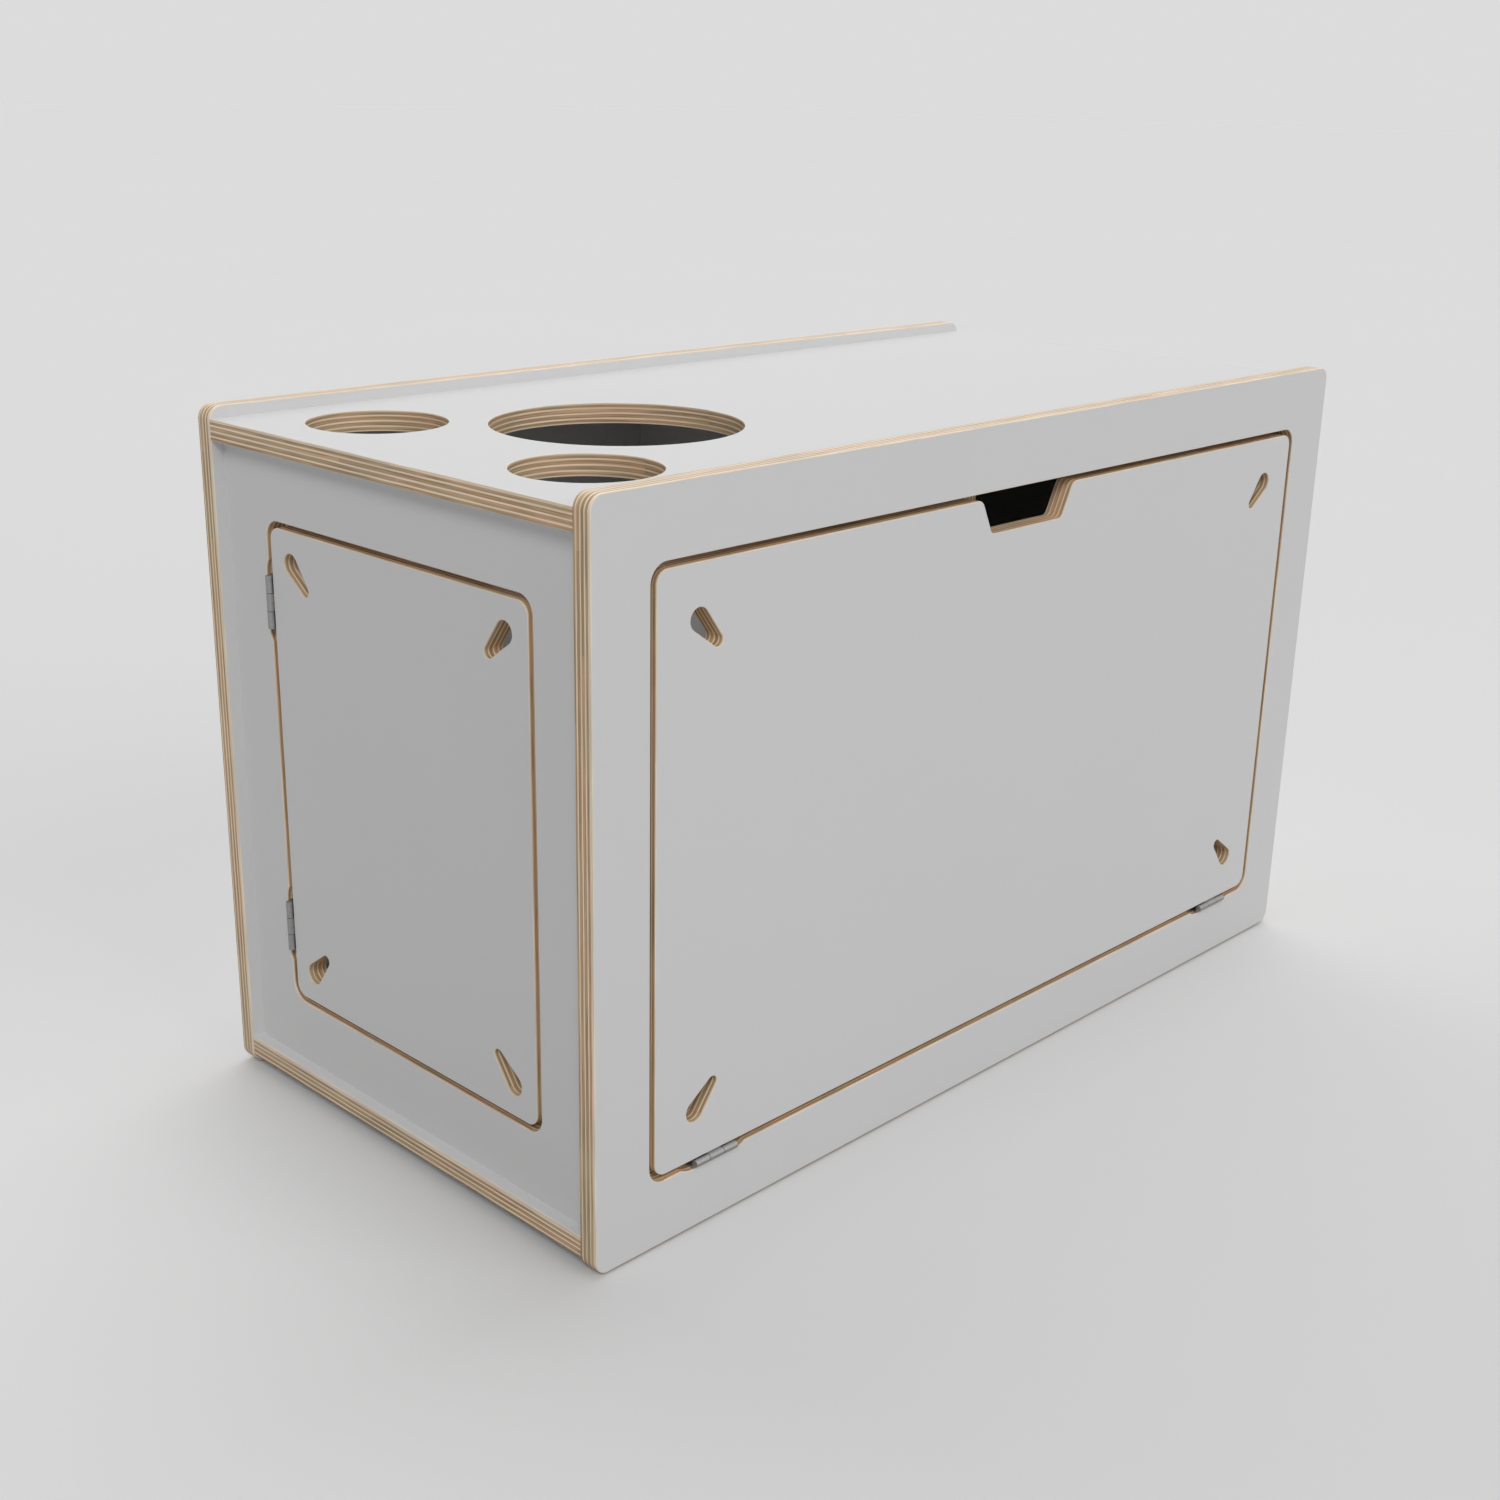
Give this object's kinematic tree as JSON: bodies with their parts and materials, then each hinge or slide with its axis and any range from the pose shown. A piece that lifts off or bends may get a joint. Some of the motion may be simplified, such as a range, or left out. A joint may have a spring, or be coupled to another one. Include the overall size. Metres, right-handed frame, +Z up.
{
  "type": "storage chest",
  "caption": "Laminated plywood storage chest with a bottom-hinged front flap, a side-hinged door in its left end, a middle divider and round holes in its top.",
  "frame": {"origin": "on the floor under the middle of the box's length and depth", "axes": "+X runs right along the long front, the flap faces -Y, the end with the side door faces -X, +Z is up"},
  "size_m": [0.65, 0.3289, 0.4],
  "materials": {
    "laminated_plywood": "pale grey matt laminate on birch plywood, edges left bare and sealed",
    "hinge_steel": "brushed steel, dull",
    "zinc_screws": "zinc plated",
    "strike_steel": "nickel plated, satin",
    "catch_plastic": "moulded, fine texture",
    "ferrite_magnet": "sintered ferrite",
    "beech_dowels": "fluted beech, bare"
  },
  "bodies": {
    "carcass": {"front_panel": "laminated_plywood", "back_panel": "laminated_plywood", "top_panel": "laminated_plywood", "bottom_panel": "laminated_plywood", "left_end_panel": "laminated_plywood", "right_end_panel": "laminated_plywood", "divider": "laminated_plywood", "flap_hinge_left_frame_leaf": "hinge_steel", "flap_hinge_left_pin": "hinge_steel", "flap_hinge_right_frame_leaf": "hinge_steel", "flap_hinge_right_pin": "hinge_steel", "door_hinge_upper_frame_leaf": "hinge_steel", "door_hinge_upper_pin": "hinge_steel", "door_hinge_lower_frame_leaf": "hinge_steel", "door_hinge_lower_pin": "hinge_steel", "flap_hinge_frame_screws": "zinc_screws", "door_hinge_frame_screws": "zinc_screws", "flap_catch_left_housing": "catch_plastic", "flap_catch_left_magnet": "ferrite_magnet", "flap_catch_left_poles": "strike_steel", "flap_catch_right_housing": "catch_plastic", "flap_catch_right_magnet": "ferrite_magnet", "flap_catch_right_poles": "strike_steel", "door_catch_housing": "catch_plastic", "door_catch_magnet": "ferrite_magnet", "door_catch_poles": "strike_steel", "flap_catch_screws": "zinc_screws", "door_catch_screws": "zinc_screws", "top_dowels": "beech_dowels", "bottom_dowels": "beech_dowels", "left_end_dowels": "beech_dowels", "right_end_dowels": "beech_dowels", "divider_dowels": "beech_dowels"},
    "flap": {"front_flap": "laminated_plywood", "flap_hinge_left_flap_leaf": "hinge_steel", "flap_hinge_right_flap_leaf": "hinge_steel", "flap_hinge_flap_screws": "zinc_screws", "flap_strike_left": "strike_steel", "flap_strike_right": "strike_steel", "flap_strike_screws": "zinc_screws"},
    "side_door": {"side_door": "laminated_plywood", "door_hinge_upper_door_leaf": "hinge_steel", "door_hinge_lower_door_leaf": "hinge_steel", "door_hinge_door_screws": "zinc_screws", "door_strike": "strike_steel", "door_strike_screws": "zinc_screws"}
  },
  "joints": [
    {"name": "flap_hinge", "type": "hinge", "parent": "carcass", "child": "flap", "pos_m": [0, -0.1639, 0.0378], "axis": [1, 0, 0], "range_deg": [0, 96.5]},
    {"name": "side_door_hinge", "type": "hinge", "parent": "carcass", "child": "side_door", "pos_m": [-0.3184, 0.1118, 0.2], "axis": [0, 0, -1], "range_deg": [0, 170]}
  ]
}
